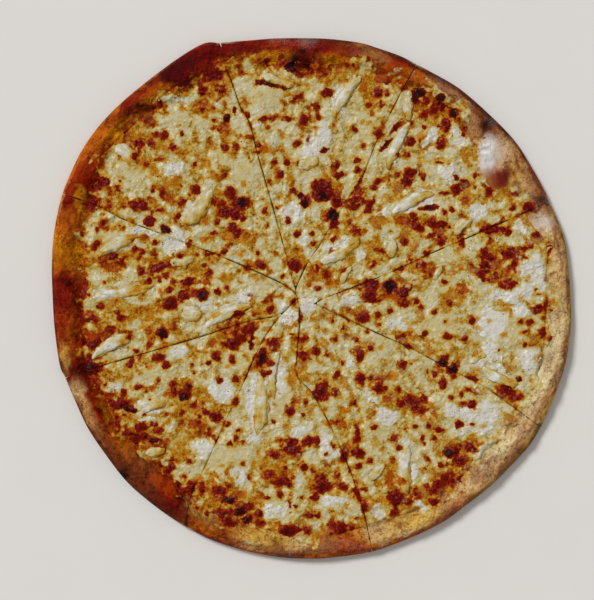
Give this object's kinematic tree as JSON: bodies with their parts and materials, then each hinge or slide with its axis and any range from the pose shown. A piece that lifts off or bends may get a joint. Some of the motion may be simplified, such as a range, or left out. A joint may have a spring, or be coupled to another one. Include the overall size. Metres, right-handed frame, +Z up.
{
  "type": "spicy chicken pizza",
  "caption": "Round thin-base pizza with a raised baked rim, cut into wedge slices that lie together, topped with browned melted cheese and torn chicken.",
  "frame": {"origin": "middle of the pizza's underside, where it rests", "axes": "+Z up out of the topping, +X to the right and +Y to the far side as the picture shows it from straight above"},
  "size_m": [0.3932, 0.394, 0.0134],
  "materials": {
    "crust": "baked, matte",
    "cheese": "melted, oily, browned in spots",
    "chicken": "cooked, slightly moist"
  },
  "bodies": {
    "root": {"slice_1_crust": "crust", "slice_1_cheese": "cheese", "slice_2_crust": "crust", "slice_2_cheese": "cheese", "slice_3_crust": "crust", "slice_3_cheese": "cheese", "slice_4_crust": "crust", "slice_4_cheese": "cheese", "slice_5_crust": "crust", "slice_5_cheese": "cheese", "slice_6_crust": "crust", "slice_6_cheese": "cheese", "slice_7_crust": "crust", "slice_7_cheese": "cheese", "slice_8_crust": "crust", "slice_8_cheese": "cheese", "chicken_01": "chicken", "chicken_02": "chicken", "chicken_03": "chicken", "chicken_04": "chicken", "chicken_05": "chicken", "chicken_06": "chicken", "chicken_07": "chicken", "chicken_08": "chicken", "chicken_09": "chicken", "chicken_10": "chicken", "chicken_11": "chicken", "chicken_12": "chicken", "chicken_13": "chicken", "chicken_14": "chicken", "chicken_15": "chicken", "chicken_16": "chicken", "chicken_17": "chicken", "chicken_18": "chicken", "chicken_19": "chicken", "chicken_20": "chicken", "chicken_21": "chicken", "chicken_22": "chicken", "chicken_23": "chicken", "chicken_24": "chicken", "chicken_25": "chicken", "chicken_26": "chicken", "chicken_27": "chicken"}
  },
  "joints": []
}
